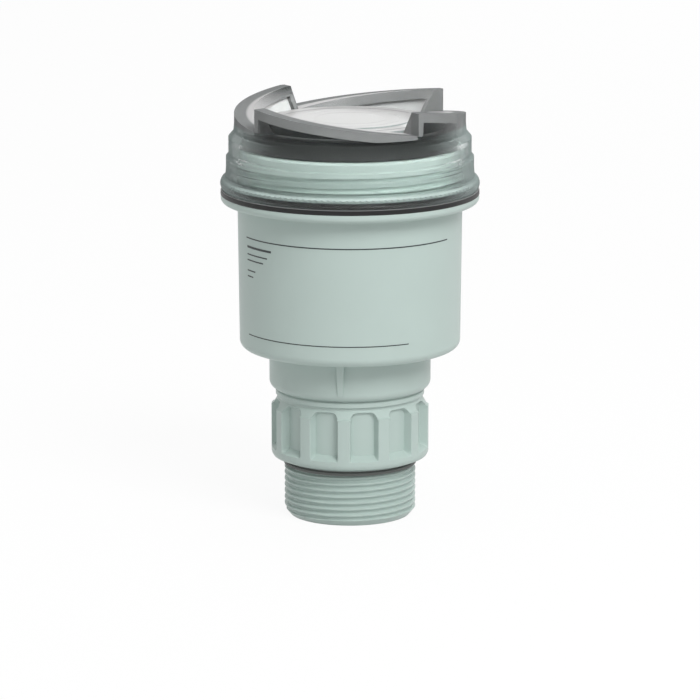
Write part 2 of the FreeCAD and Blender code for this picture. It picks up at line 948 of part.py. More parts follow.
def lid_seal():
    return oring(lid_seal_r, lid_seal_section_r, flange_top_z + 0.05 + lid_seal_section_r)


def gland_body():
    # Threaded stub, hexagon and outer stub of the M20 cable gland.
    inner_y = cavity_r - gland_reach_in
    outer = rod(gland_thread_r, inner_y, hex_y + 0.5, gland_z)
    body = outer.fuse([
        hexagon(gland_across_flats, hex_y, stub_y, gland_z),
        rod(gland_stub_r, stub_y - 0.5, stub_end_y, gland_z),
    ])
    body = body.cut(rod(gland_bore_r, inner_y - 1, stub_end_y + 1, gland_z))
    body = body.cut(rod(gland_mouth_r, stub_end_y - gland_mouth_depth, stub_end_y + 1, gland_z))
    return body.removeSplitter()


def gland_gasket():
    inner = gland_thread_r + gland_thread_fit
    outer = rod(inner + gland_gasket_width, boss_end_y, hex_y, gland_z)
    return outer.cut(rod(inner, boss_end_y - 1, hex_y + 1, gland_z))


def gland_insert():
    # The rubber sleeve that the nut squeezes round the cable.
    low = stub_end_y - gland_mouth_depth + 0.1
    outer_r = gland_mouth_r - gland_play
    shoulder = stub_end_y + 0.6
    nose = shoulder + gland_insert_nose
    sleeve = turned(
        (gland_insert_bore_r, low),
        [
            (outer_r, low),
            (outer_r, shoulder),
            (outer_r - gland_insert_nose * 0.6, nose),
            (gland_insert_bore_r, nose),
        ],
    )
    return along_gland(sleeve)


def gland_nut():
    # A dome nut: hexagon, rounded nose, inner cone over the insert's nose.
    shell = hexagon(nut_across_flats, nut_y, nut_end_y, gland_z)
    edge_r = nut_across_flats / math.sqrt(3)
    flat_r = nut_across_flats / 2
    hex_end = nut_y + nut_hex_height
    bulge_r = (flat_r + nut_nose_r) / 2 + 0.9
    bulge_y = (hex_end + nut_end_y) / 2
    form = turned(
        (0, nut_y),
        [
            (flat_r, nut_y),
            (edge_r, nut_y + 0.8),
            (edge_r, hex_end - 0.6),
            (flat_r + 0.3, hex_end + 0.4),
            ((bulge_r, bulge_y), (nut_nose_r, nut_end_y)),
            (0, nut_end_y),
        ],
    )
    thread_r_inner = gland_stub_r + gland_play
    seat_y = stub_end_y + 0.6 + gland_play
    cone_y = nut_end_y - nut_nose_thickness
    insert_r = gland_mouth_r + gland_play
    hole = turned(
        (0, nut_y - 1),
        [
            (thread_r_inner, nut_y - 1),
            (thread_r_inner, stub_end_y + 0.3),
            (insert_r, seat_y),
            (nut_mouth_r, cone_y),
            (nut_mouth_r, nut_end_y + 1),
            (0, nut_end_y + 1),
        ],
    )
    return shell.common(along_gland(form)).cut(along_gland(hole)).removeSplitter()


def write(name, shape):
    shape.exportStep("parts/" + name + ".step")
    print(name, len(shape.Solids), "solid", round(shape.Volume), "mm3", "valid" if shape.isValid() else "BAD")


def main():
    os.makedirs("parts", exist_ok=True)
    makers = {
        "process_fitting": process_fitting,
        "process_seal": process_seal,
        "antenna_lens": antenna_lens,
        "antenna_horn": antenna_horn,
        "housing": housing,
        "swivel_seal": swivel_seal,
        "retaining_ring": retaining_ring,
        "microwave_module": microwave_module,
        "main_board": main_board,
        "electronics_insert": electronics_insert,
        "insert_screws": insert_screws,
        "terminal_block": terminal_block,
        "ground_terminal": ground_terminal,
        "contact_post": contact_post,
        "display_base": display_base,
        "display_board": display_board,
        "display_panel": display_panel,
        "display_ring": display_ring,
        "display_face": display_face,
        "lid_seal": lid_seal,
        "housing_lid": housing_lid,
        "gland_body": gland_body,
        "gland_gasket": gland_gasket,
        "gland_insert": gland_insert,
        "gland_nut": gland_nut,
    }
    for name, make in makers.items():
        write(name, make())
    for name, x in key_places():
        write("key_" + name, display_key(x))


main()
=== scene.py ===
import json
import math
import bpy
import numpy as np
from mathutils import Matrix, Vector


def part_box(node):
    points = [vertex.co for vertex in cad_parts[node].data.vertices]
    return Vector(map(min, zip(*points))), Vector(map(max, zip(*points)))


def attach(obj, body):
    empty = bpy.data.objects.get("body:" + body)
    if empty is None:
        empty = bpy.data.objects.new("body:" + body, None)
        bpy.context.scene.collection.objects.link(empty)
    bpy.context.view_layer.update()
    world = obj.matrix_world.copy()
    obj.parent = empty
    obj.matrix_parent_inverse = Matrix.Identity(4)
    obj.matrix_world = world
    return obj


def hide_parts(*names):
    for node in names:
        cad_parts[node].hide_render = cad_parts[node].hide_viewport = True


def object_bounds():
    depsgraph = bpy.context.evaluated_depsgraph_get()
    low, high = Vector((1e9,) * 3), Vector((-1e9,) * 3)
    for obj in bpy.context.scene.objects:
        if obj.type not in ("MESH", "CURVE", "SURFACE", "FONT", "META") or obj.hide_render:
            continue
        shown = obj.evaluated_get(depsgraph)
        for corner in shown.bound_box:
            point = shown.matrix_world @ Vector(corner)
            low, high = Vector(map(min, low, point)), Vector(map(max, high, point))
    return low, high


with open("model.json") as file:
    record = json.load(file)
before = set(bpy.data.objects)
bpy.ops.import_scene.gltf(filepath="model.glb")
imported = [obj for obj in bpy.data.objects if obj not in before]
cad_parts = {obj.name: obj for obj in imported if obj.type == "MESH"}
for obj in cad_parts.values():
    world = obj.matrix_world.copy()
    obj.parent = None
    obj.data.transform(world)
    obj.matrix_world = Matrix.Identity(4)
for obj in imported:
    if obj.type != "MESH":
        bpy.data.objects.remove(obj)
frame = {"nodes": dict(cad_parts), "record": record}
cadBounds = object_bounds()

# Lengths in the dictionaries are millimetres, angles are degrees; meshes and materials are in metres.
mm = 0.001
nodes = frame["nodes"]


def boxOf(node):
    # Lowest and highest corner
    return [[value / mm for value in corner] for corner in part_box(node)]


def low(node, axis=2):
    return boxOf(node)[0][axis]


def high(node, axis=2):
    return boxOf(node)[1][axis]


# Surfaces

def smoothStep(start, end, value):
    # 3t^2 - 2t^3 with t = (value - start) / (end - start), held between 0 and 1
    t = np.clip((value - start) / (end - start), 0, 1)
    return t * t * (3 - 2 * t)


def gridQuads(rows, columns):
    # Quad (i, j) joins grid points (i, j), (i, j+1), (i+1, j+1), (i+1, j), both ways round
    i, j = np.meshgrid(np.arange(rows), np.arange(columns), indexing="ij")
    nextI, nextJ = (i + 1) % rows, (j + 1) % columns
    corners = [i * columns + j, i * columns + nextJ, nextI * columns + nextJ, nextI * columns + j]
    return np.stack([c.ravel() for c in corners], axis=1)


def outward(points, faces):
    # Six times the volume is the sum of a . (b x c) over the faces' triangles; below 0 the faces turn over
    a, b, c, d = (points[faces[:, k]] for k in range(4))
    volume = np.einsum("ij,ij->i", a, np.cross(b, c)).sum() + np.einsum("ij,ij->i", a, np.cross(c, d)).sum()
    return faces[:, ::-1] if volume < 0 else faces


def meshPiece(name, points, faces, material, body, sharp=40):
    mesh = bpy.data.meshes.new(name)
    mesh.vertices.add(len(points))
    mesh.vertices.foreach_set("co", (points * mm).astype(np.float32).ravel())
    mesh.loops.add(faces.size)
    mesh.loops.foreach_set("vertex_index", faces.astype(np.int32).ravel())
    mesh.polygons.add(len(faces))
    mesh.polygons.foreach_set("loop_start", np.arange(0, faces.size, faces.shape[1], dtype=np.int32))
    mesh.update(calc_edges=True)
    mesh.polygons.foreach_set("use_smooth", np.ones(len(faces), bool))
    mesh.set_sharp_from_angle(angle=math.radians(sharp))
    mesh.materials.append(material)
    piece = bpy.data.objects.new(name, mesh)
    bpy.context.scene.collection.objects.link(piece)
    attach(piece, body)
    return piece


def fullTurn(count):
    # Even angles of one turn, as one row
    return np.linspace(0, 2 * math.pi, count, endpoint=False)[None, :]


def turnedGrid(r, z, theta):
    # r and z are rows x columns, a closed loop down the rows; a point is (r cos t, r sin t, z)
    x, y = r * np.cos(theta), r * np.sin(theta)
    points = np.stack([x, y, z * np.ones_like(r)], axis=-1).reshape(-1, 3)
    return points, outward(points, gridQuads(*r.shape))


def bandGrid(face, z, theta, back):
    # A closed band round the axis: radii of its face over the heights z, and a plain side at the radius back
    r = np.concatenate([face, np.full((2, theta.size), back)])
    heights = np.concatenate([z, [z[-1], z[0]]]) + 0 * theta
    return turnedGrid(r, heights, theta)


def makeTurned(name, profile, material, body, count=240, sharp=30):
    # A ring turned round +Z from a closed profile of (r, z) points
    profile = np.array(profile, float)
    theta = fullTurn(count)
    points, faces = turnedGrid(profile[:, :1] + 0 * theta, profile[:, 1:] + 0 * theta, theta)
    return meshPiece(name, points, faces, material, body, sharp)


def sweptBar(r, z, theta):
    # Skin over a row of four-cornered sections, closed at both ends; a corner is (r cos t, r sin t, z)
    sections = np.stack([r * np.cos(theta), r * np.sin(theta), z + 0 * r], axis=-1)
    rows = np.arange(len(sections) - 1)[:, None] * 4
    side = np.arange(4)[None, :]
    ahead = (side + 1) % 4
    faces = np.stack([rows + side, rows + ahead, rows + 4 + ahead, rows + 4 + side], -1).reshape(-1, 4)
    last = (len(sections) - 1) * 4
    caps = np.array([[3, 2, 1, 0], [last, last + 1, last + 2, last + 3]])
    points = sections.reshape(-1, 3)
    return points, outward(points, np.concatenate([faces, caps]))


def joinParts(parts):
    # One mesh's arrays from several: each part's faces count on from the points before it
    offsets = np.cumsum([0] + [len(points) for points, _ in parts[:-1]])
    faces = [part + offset for (_, part), offset in zip(parts, offsets)]
    return np.concatenate([points for points, _ in parts]), np.concatenate(faces)


# Node trees

def feed(tree, socket, value):
    # Links a socket to an output, or sets its plain value
    if isinstance(value, bpy.types.NodeSocket):
        tree.links.new(value, socket)
    else:
        socket.default_value = value


def addNode(tree, kind, settings=None, **links):
    # A node with its settings; a link's name is a socket's, with _ for a space, or n and its number
    node = tree.nodes.new(kind)
    for key, value in (settings or {}).items():
        setattr(node, key, value)
    for key, value in links.items():
        numbered = key[0] == "n" and key[1:].isdigit()
        feed(tree, node.inputs[int(key[1:]) if numbered else key.replace("_", " ")], value)
    return node


def objectPlace(tree):
    return tree.nodes.new("ShaderNodeTexCoord").outputs["Object"]


def calc(tree, operation, *values):
    node = addNode(tree, "ShaderNodeMath", {"operation": operation})
    for socket, value in zip(node.inputs, values):
        feed(tree, socket, value)
    return node.outputs[0]


def vectorCalc(tree, operation, *values):
    node = addNode(tree, "ShaderNodeVectorMath", {"operation": operation})
    for socket, value in zip(node.inputs, values):
        feed(tree, socket, value)
    return node


def noise(tree, place, scale, detail=3.0):
    return addNode(tree, "ShaderNodeTexNoise", Vector=place, Scale=scale, Detail=detail).outputs["Fac"]


def mapRange(tree, value, start, end, least=0.0, most=1.0):
    # least at start, most at end, even between them and held outside
    return addNode(tree, "ShaderNodeMapRange", n0=value, n1=start, n2=end, n3=least, n4=most).outputs["Result"]


def mixColour(tree, factor, a, b, blend="MIX"):
    node = addNode(tree, "ShaderNodeMix", {"data_type": "RGBA", "blend_type": blend}, n0=factor, n6=a, n7=b)
    return node.outputs[2]


def mixShader(tree, factor, a, b):
    return addNode(tree, "ShaderNodeMixShader", n0=factor, n1=a, n2=b).outputs[0]


def axisDistance(tree, split):
    # Distance from the axis of a point that is split into X, Y and Z
    flat = addNode(tree, "ShaderNodeCombineXYZ", X=split.outputs["X"], Y=split.outputs["Y"])
    return vectorCalc(tree, "LENGTH", flat.outputs[0]).outputs["Value"]


def newGroup(name, inputs, outputs):
    group = bpy.data.node_groups.new(name, "ShaderNodeTree")
    for label, kind, value in inputs:
        socket = group.interface.new_socket(label, in_out="INPUT", socket_type=kind)
        socket.default_value = value
    for label, kind in outputs:
        group.interface.new_socket(label, in_out="OUTPUT", socket_type=kind)
    start = group.nodes.new("NodeGroupInput")
    end = group.nodes.new("NodeGroupOutput")
    return group, start, end


# Groups for effects that several materials share

skinOutputs = [("Colour", "NodeSocketColor"), ("Rough", "NodeSocketFloat"), ("Height", "NodeSocketFloat")]
mouldedLook = {"cloudDetail": 3.0, "grainDetail": 2.0, "roughSwing": 0.16}
latheLook = {"detail": 2.0, "toneShare": 0.35, "groove": (0.3, 0.3, 0.31, 1), "roughSwing": 0.2}


def makeMouldedGroup():
    # Moulded skin: broad cloudy tone, cloudy roughness and fine spark grain
    group, start, end = newGroup(
        "mouldedSkin",
        [("Colour", "NodeSocketColor", (0.5, 0.5, 0.5, 1)), ("Mottle", "NodeSocketFloat", 0.05),
         ("Rough", "NodeSocketFloat", 0.4), ("Grain Scale", "NodeSocketFloat", 1500.0),
         ("Cloud Scale", "NodeSocketFloat", 40.0)],
        skinOutputs,
    )
    place = objectPlace(group)
    cloud = noise(group, place, start.outputs["Cloud Scale"], mouldedLook["cloudDetail"])
    grain = noise(group, place, start.outputs["Grain Scale"], mouldedLook["grainDetail"])
    swing = calc(group, "SUBTRACT", cloud, 0.5)
    tone = calc(group, "MULTIPLY", swing, start.outputs["Mottle"])
    bright = calc(group, "ADD", calc(group, "MULTIPLY", tone, 2.0), 1.0)
    scaled = vectorCalc(group, "SCALE", start.outputs["Colour"])
    feed(group, scaled.inputs["Scale"], bright)
    feed(group, end.inputs["Colour"], scaled.outputs[0])
    rough = calc(group, "MULTIPLY_ADD", swing, mouldedLook["roughSwing"], start.outputs["Rough"])
    feed(group, end.inputs["Rough"], rough)
    feed(group, end.inputs["Height"], grain)
    return group


def makeLatheGroup():
    # Turning marks: fine rings that follow the radius and the height
    group, start, end = newGroup(
        "latheMarks",
        [("Colour", "NodeSocketColor", (0.7, 0.7, 0.7, 1)), ("Rough", "NodeSocketFloat", 0.25),
         ("Ring Scale", "NodeSocketFloat", 900.0)],
        skinOutputs,
    )
    split = addNode(group, "ShaderNodeSeparateXYZ", Vector=objectPlace(group))
    along = calc(group, "ADD", axisDistance(group, split), split.outputs["Z"])
    lane = addNode(group, "ShaderNodeCombineXYZ", X=calc(group, "MULTIPLY", along, start.outputs["Ring Scale"]))
    marks = noise(group, lane.outputs[0], 1.0, latheLook["detail"])
    share = calc(group, "MULTIPLY", marks, latheLook["toneShare"])
    feed(group, end.inputs["Colour"], mixColour(group, share, start.outputs["Colour"], latheLook["groove"]))
    rough = calc(group, "MULTIPLY_ADD", marks, latheLook["roughSwing"], start.outputs["Rough"])
    feed(group, end.inputs["Rough"], rough)
    feed(group, end.inputs["Height"], marks)
    return group


mouldedSkin = makeMouldedGroup()
latheMarks = makeLatheGroup()
print("node groups made")


# Materials

def newMaterial(name, roughness, metallic=0.0):
    material = bpy.data.materials.new(name)
    material.use_nodes = True
    tree = material.node_tree
    shader = tree.nodes["Principled BSDF"]
    shader.inputs["Roughness"].default_value = roughness
    shader.inputs["Metallic"].default_value = metallic
    return material, tree, shader


def addBump(tree, shader, height, strength, distance):
    bump = addNode(tree, "ShaderNodeBump", Height=height, Strength=strength, Distance=distance * mm)
    feed(tree, shader.inputs["Normal"], bump.outputs["Normal"])


def groupedMaterial(name, group, colour, rough, values, strength, depth, metallic=0.0, specular=0.5):
    # A Principled shader whose colour, roughness and bump come from one of the groups
    material, tree, shader = newMaterial(name, rough, metallic)
    skin = addNode(tree, "ShaderNodeGroup", {"node_tree": group}, Colour=(*colour, 1), Rough=rough)
    for label, value in values.items():
        skin.inputs[label].default_value = value
    feed(tree, shader.inputs["Base Color"], skin.outputs["Colour"])
    feed(tree, shader.inputs["Roughness"], skin.outputs["Rough"])
    shader.inputs["Specular IOR Level"].default_value = specular
    addBump(tree, shader, skin.outputs["Height"], strength, depth)
    return material


def mouldedPlastic(name, colour, rough=0.42, mottle=0.04, grain=1400.0, cloud=40.0, depth=0.02,
                   strength=0.25, specular=0.5):
    values = {"Mottle": mottle, "Grain Scale": grain, "Cloud Scale": cloud}
    return groupedMaterial(name, mouldedSkin, colour, rough, values, strength, depth, specular=specular)


def rubberMaterial(name, colour, rough=0.55):
    return mouldedPlastic(name, colour, rough, mottle=0.12, grain=2200.0, strength=0.35, specular=0.35)


def turnedMetal(name, colour, rough=0.25, rings=900.0):
    values = {"Ring Scale": rings}
    return groupedMaterial(name, latheMarks, colour, rough, values, strength=0.2, depth=0.02, metallic=1.0)


boardLook = {
    "rough": 0.3, "trackScale": 330.0, "trackWidth": 0.03, "trackOffset": 0.35,
    "mask": (0.02, 0.16, 0.07, 1), "maskToo": (0.025, 0.2, 0.09, 1), "track": (0.05, 0.32, 0.16, 1),
    "padScale": 420.0, "padSize": 0.16, "pad": (0.62, 0.62, 0.6, 1), "strength": 0.2, "depth": 0.03,
}


def boardMaterial(name):
    # Solder mask with darker tracks in square cells and small tinned pads
    look = boardLook
    material, tree, shader = newMaterial(name, look["rough"])
    place = objectPlace(tree)
    tracks = addNode(tree, "ShaderNodeTexBrick", {"offset": look["trackOffset"]}, Vector=place,
                     Scale=look["trackScale"], Mortar_Size=look["trackWidth"],
                     Color1=look["mask"], Color2=look["maskToo"], Mortar=look["track"])
    dots = addNode(tree, "ShaderNodeTexVoronoi", Vector=place, Scale=look["padScale"])
    pads = calc(tree, "LESS_THAN", dots.outputs["Distance"], look["padSize"])
    feed(tree, shader.inputs["Base Color"], mixColour(tree, pads, tracks.outputs["Color"], look["pad"]))
    addBump(tree, shader, tracks.outputs["Fac"], look["strength"], look["depth"])
    return material


panelLook = {
    "rough": 0.18, "coat": 0.6, "gridScale": 2400.0, "gridLine": 0.06, "cell": 0.5,
    "tone": (0.36, 0.42, 0.31, 1), "toneToo": (0.35, 0.41, 0.3, 1), "line": (0.3, 0.35, 0.25, 1),
}


def panelMaterial(name):
    # Grey-green liquid crystal with its fine pixel grid
    look = panelLook
    material, tree, shader = newMaterial(name, look["rough"])
    grid = addNode(tree, "ShaderNodeTexBrick", {"offset": 0.0}, Vector=objectPlace(tree),
                   Scale=look["gridScale"], Mortar_Size=look["gridLine"],
                   Brick_Width=look["cell"], Row_Height=look["cell"],
                   Color1=look["tone"], Color2=look["toneToo"], Mortar=look["line"])
    feed(tree, shader.inputs["Base Color"], grid.outputs["Color"])
    shader.inputs["Coat Weight"].default_value = look["coat"]
    return material


lidLook = {
    "tint": (0.965, 0.98, 0.975, 1), "tintToo": (0.97, 0.97, 0.97, 1), "rough": 0.05, "roughSwing": 0.05,
    "ior": 1.2, "transmission": 1.0, "cloudScale": 60.0, "fineScale": 500.0, "fineDetail": 1.0,
    "strength": 0.06, "depth": 0.02,
    "hazeFrom": 0.3, "hazeTo": 0.8, "hazeLeast": 0.015, "hazeMost": 0.9, "plateHaze": 0.6,
    "plateFrom": 124.6, "plateTo": 125.4, "plateR": 36.4, "plateEndR": 37.6,
    "wallMilk": (0.26, 0.31, 0.30, 1), "wingMilk": (0.215, 0.225, 0.225, 1),
    "plateMilk": (0.78, 0.765, 0.765, 1),
    "litFrom": 106.0, "litTo": 114.0, "litLow": 1.0, "litHigh": 0.66,
}


def clearMaterial(name):
    # Moulded polycarbonate: clear seen face-on, hazy seen along the surface, and its shadow lets light through
    look = lidLook
    material, tree, shader = newMaterial(name, look["rough"])
    shader.inputs["IOR"].default_value = look["ior"]
    shader.inputs["Transmission Weight"].default_value = look["transmission"]
    place = objectPlace(tree)
    cloud = noise(tree, place, look["cloudScale"])
    feed(tree, shader.inputs["Roughness"], calc(tree, "MULTIPLY_ADD", cloud, look["roughSwing"], look["rough"]))
    feed(tree, shader.inputs["Base Color"], mixColour(tree, cloud, look["tint"], look["tintToo"], "MULTIPLY"))
    fine = noise(tree, place, look["fineScale"], look["fineDetail"])
    addBump(tree, shader, fine, look["strength"], look["depth"])

    # Milk: grey-green in the wall, grey in the wings, pale and thin in the window plate
    split = addNode(tree, "ShaderNodeSeparateXYZ", Vector=place)
    height = split.outputs["Z"]
    radius = axisDistance(tree, split)
    within = mapRange(tree, radius, look["plateR"] * mm, look["plateEndR"] * mm, 1.0, 0.0)
    above = mapRange(tree, height, look["plateFrom"] * mm, look["plateTo"] * mm)
    plate = calc(tree, "MULTIPLY", within, above)
    facing = addNode(tree, "ShaderNodeLayerWeight", Blend=0.5).outputs["Facing"]
    haze = mapRange(tree, facing, look["hazeFrom"], look["hazeTo"], look["hazeLeast"], look["hazeMost"])
    haze = calc(tree, "MULTIPLY", haze, calc(tree, "MULTIPLY_ADD", plate, look["plateHaze"] - 1, 1.0))
    outside = mixColour(tree, above, look["wallMilk"], look["wingMilk"])
    milk = addNode(tree, "ShaderNodeBsdfDiffuse", Color=mixColour(tree, plate, outside, look["plateMilk"]))
    body = mixShader(tree, haze, shader.outputs[0], milk.outputs[0])

    # Shadow rays pass, dimmed towards the lid's top
    lit = mapRange(tree, height, look["litFrom"] * mm, look["litTo"] * mm, look["litLow"], look["litHigh"])
    clear = addNode(tree, "ShaderNodeBsdfTransparent", Color=mixColour(tree, lit, (0, 0, 0, 1), look["tint"]))
    shadow = tree.nodes.new("ShaderNodeLightPath").outputs["Is Shadow Ray"]
    surface = mixShader(tree, shadow, body, clear.outputs[0])
    feed(tree, tree.nodes["Material Output"].inputs["Surface"], surface)
    return material


wingLook = {
    "rough": 0.35, "specular": 0.3, "cloudScale": 90.0, "tone": (0.20, 0.205, 0.205, 1),
    "toneToo": (0.235, 0.24, 0.24, 1), "dark": (0.03, 0.034, 0.034, 1), "darkMost": 0.85,
    "backFrom": 30.0, "backTo": 52.0, "upFrom": 129.0, "upTo": 133.0,
}


def wingMaterial(name):
    # The thick solid of the wings: grey and hardly clear, with painted shade at the top of the wing behind on
    # the left
    look = wingLook
    material, tree, shader = newMaterial(name, look["rough"])
    place = objectPlace(tree)
    tone = mixColour(tree, noise(tree, place, look["cloudScale"]), look["tone"], look["toneToo"])
    # Painted shade: the top of the wing behind on the left is darkened towards the dark colour
    back = vectorCalc(tree, "DOT_PRODUCT", place, (-1.0, 1.0, 0.0)).outputs["Value"]
    behind = mapRange(tree, back, look["backFrom"] * mm, look["backTo"] * mm)
    height = addNode(tree, "ShaderNodeSeparateXYZ", Vector=place).outputs["Z"]
    upper = mapRange(tree, height, look["upFrom"] * mm, look["upTo"] * mm)
    dark = calc(tree, "MULTIPLY", calc(tree, "MULTIPLY", behind, upper), look["darkMost"])
    feed(tree, shader.inputs["Base Color"], mixColour(tree, dark, tone, look["dark"]))
    shader.inputs["Specular IOR Level"].default_value = look["specular"]
    return material


# Colours for the sheets in the wing hollows: painted shade outwards, painted light inwards
wingShadeLook = {
    "rough": 0.4, "cloudScale": 70.0, "inside": (0.6, 0.6, 0.6, 1),
    "outside": (0.025, 0.03, 0.03, 1), "outsideToo": (0.05, 0.06, 0.058, 1),
}


def wingShadeMaterial(name):
    # Painted shade under the wings: dark on the side that looks outwards, and painted light, pale, on the side
    # that looks at the axis
    look = wingShadeLook
    material, tree, shader = newMaterial(name, look["rough"])
    normal = tree.nodes.new("ShaderNodeNewGeometry").outputs["Normal"]
    place = objectPlace(tree)
    flat = vectorCalc(tree, "MULTIPLY", place, (1.0, 1.0, 0.0)).outputs[0]
    along = vectorCalc(tree, "NORMALIZE", flat).outputs[0]
    outwards = vectorCalc(tree, "DOT_PRODUCT", normal, along).outputs["Value"]
    dark = mixColour(tree, noise(tree, place, look["cloudScale"]), look["outside"], look["outsideToo"])
    side = calc(tree, "GREATER_THAN", outwards, 0.0)
    feed(tree, shader.inputs["Base Color"], mixColour(tree, side, look["inside"], dark))
    return material


finishes = {
    "fitting_plastic": mouldedPlastic("fittingPlastic", (0.475, 0.575, 0.54), rough=0.40, cloud=60.0,
                                      depth=0.03),
    "process_seal": rubberMaterial("fibreSeal", (0.17, 0.175, 0.17), rough=0.7),
    "lens_plastic": mouldedPlastic("lensPlastic", (0.72, 0.72, 0.7), rough=0.35),
    "horn_metal": turnedMetal("hornMetal", (0.75, 0.75, 0.76)),
    "housing_plastic": mouldedPlastic("housingPlastic", (0.485, 0.585, 0.55)),
    "oring_rubber": rubberMaterial("ringRubber", (0.012, 0.012, 0.012), rough=0.45),
    "spring_steel": turnedMetal("springSteel", (0.58, 0.58, 0.6), rough=0.22, rings=1600.0),
    "module_metal": turnedMetal("moduleMetal", (0.6, 0.6, 0.61), rough=0.4, rings=400.0),
    "circuit_board": boardMaterial("circuitBoard"),
    "insert_plastic": mouldedPlastic("insertPlastic", (0.03, 0.034, 0.034), rough=0.5, mottle=0.1),
    "terminal_plastic": mouldedPlastic("terminalPlastic", (0.16, 0.19, 0.185), rough=0.45, mottle=0.08),
    "terminal_metal": turnedMetal("terminalBrass", (0.66, 0.5, 0.22), rough=0.3, rings=1200.0),
    "display_shell": mouldedPlastic("displayShell", (0.009, 0.011, 0.0105), rough=0.45, mottle=0.1),
    "display_panel": panelMaterial("liquidCrystal"),
    "display_face": mouldedPlastic("displayFace", (0.56, 0.565, 0.565), rough=0.45),
    "key_plastic": rubberMaterial("keyPlastic", (0.05, 0.06, 0.06), rough=0.5),
    "lid_clear": clearMaterial("clearLid"),
    "gland_plastic": mouldedPlastic("glandPlastic", (0.40, 0.46, 0.44), rough=0.38),
    "gland_rubber": rubberMaterial("glandRubber", (0.015, 0.015, 0.015), rough=0.6),
}
wingSolid = wingMaterial("wingSolid")
frostedTeeth = mouldedPlastic("frostedTeeth", (0.34, 0.41, 0.39), rough=0.35)
# Painted shade under the wings, with painted light on the inner side
paintedWingShade = wingShadeMaterial("paintedWingShade")
ink = mouldedPlastic("printInk", (0.035, 0.045, 0.045), rough=0.5, mottle=0.15, grain=3000.0)

for row in frame["record"]["subparts"]:
    node = nodes[row["node"]]
    if not node.material_slots:
        node.data.materials.append(None)
    for holder in node.material_slots:
        holder.material = finishes[row["material_slot"]]
print("materials made and given to", len(nodes), "nodes")


# Process fitting: thread and grip collar in one moulding

fitting = {
    "crestR": 23.88, "rootR": 22.8, "pitch": 25.4 / 11, "phase": 0.89, "threadRows": 112,
    "plainRows": 7, "roofRows": 40, "hair": 0.001,
    "endR": 21.9, "chamfer": 2.4, "reliefTop": 1.3, "seatR": 23.2, "sealGap": -0.25,
    "ringR": 28.6, "ringBaseR": 24.3, "ringChamfer": 2.0, "edge": 0.45, "edgeBelow": 0.5, "edgeAbove": 0.6,
    "shelfDrop": 6.2, "shelf": 0.35, "shelfStep": 0.75,
    "waistDrop": 3.4, "waistR": 26.1, "waistEdge": 0.3, "waistBelow": 0.15, "waistAbove": 0.1,
    "topHeight": 2.0, "topR": 27.0, "topBelow": 0.25, "topEdge": 0.5, "coreR": 25.5,
    "ribWidth": 5.0, "ribCount": 12, "ribFirst": -94.5,
    "floorLow": 4.3, "floorHigh": 6.1, "roofDrop": 4.1, "cornerR": 2.6, "wallWidth": 0.7,
    "columns": [1.5, 2.8, 3.6, 4.1, 4.5, 4.9, 5.3, 5.7, 6.1, 6.7, 7.6, 9.0, 11.0, 13.0],
    "boreR": 20.4, "sleeveR": 19.4, "spigotR": 21.6, "lensSeat": 3.4, "spigotFloor": 7.6,
    "ringDrop": 5.0, "ringHalf": 1.15, "ringDepth": 1.5,
}

# One turn of the process thread from below upwards: root, long lower flank, crest, short upper flank
threadShares = [0.0, 0.28, 0.62, 0.84, 1.0]
threadHeights = [0.0, 0.0, 1.0, 1.0, 0.0]


def fittingColumns():
    # Columns crowd where a rib's side wall stands: the same offsets for each rib
    half = np.array(fitting["columns"])
    period = 360 / fitting["ribCount"]
    one = np.concatenate([-half[::-1], [0.0], half, [period / 2]])
    first = fitting["ribFirst"] + np.arange(fitting["ribCount"]) * period
    return np.radians((first[:, None] + one[None, :]).ravel())


def collarEnvelope(z, base, top):
    # Outer form without pockets: base chamfer, plain ring, shelf, bevel up to the waist, top ring
    f = fitting
    edgeZ = base + f["ringChamfer"]
    shelfZ, waistZ, topZ = top - f["shelfDrop"], top - f["waistDrop"], top - f["topHeight"]
    outline = [
        (base, f["ringBaseR"]),
        (edgeZ - f["edgeBelow"], f["ringR"] - f["edge"]),
        (edgeZ + f["edgeAbove"], f["ringR"]),
        (shelfZ, f["ringR"]),
        (shelfZ + f["shelf"], f["ringR"] - f["shelfStep"]),
        (waistZ - f["waistBelow"], f["waistR"] + f["waistEdge"]),
        (waistZ + f["waistAbove"], f["waistR"]),
        (topZ - f["topBelow"], f["waistR"]),
        (topZ, f["topR"]),
        (top - f["topEdge"], f["topR"]),
        (top, f["topR"] - f["topEdge"]),
    ]
    knots, radii = zip(*outline)
    return np.interp(z, knots, radii)


def pocketShare(theta, z, base, top):
    # 1 inside a pocket, 0 outside: steep sides, a sloping floor, and a roof that drops in quarter rounds
    # to the sides: roof - c (1 - sqrt(1 - u^2)), with u the share of the corner's width c
    f = fitting
    period = 360 / f["ribCount"]
    turn = (np.degrees(theta) - f["ribFirst"] - period / 2) % period
    arc = np.radians(np.minimum(turn, period - turn)) * f["ringR"]
    halfArc = math.radians(period) * f["ringR"] / 2 - f["ribWidth"] / 2
    sides = smoothStep(halfArc + f["wallWidth"] / 2, halfArc - f["wallWidth"] / 2, arc)
    u = np.clip((arc - halfArc + f["cornerR"]) / f["cornerR"], 0, 1)
    roof = top - f["roofDrop"] - f["cornerR"] * (1 - np.sqrt(1 - u * u))
    under = smoothStep(roof + f["wallWidth"] / 2, roof - f["wallWidth"] / 2, z)
    floor = np.clip((z - base - f["floorLow"]) / (f["floorHigh"] - f["floorLow"]), 0, 1)
    return sides * np.minimum(under, floor)


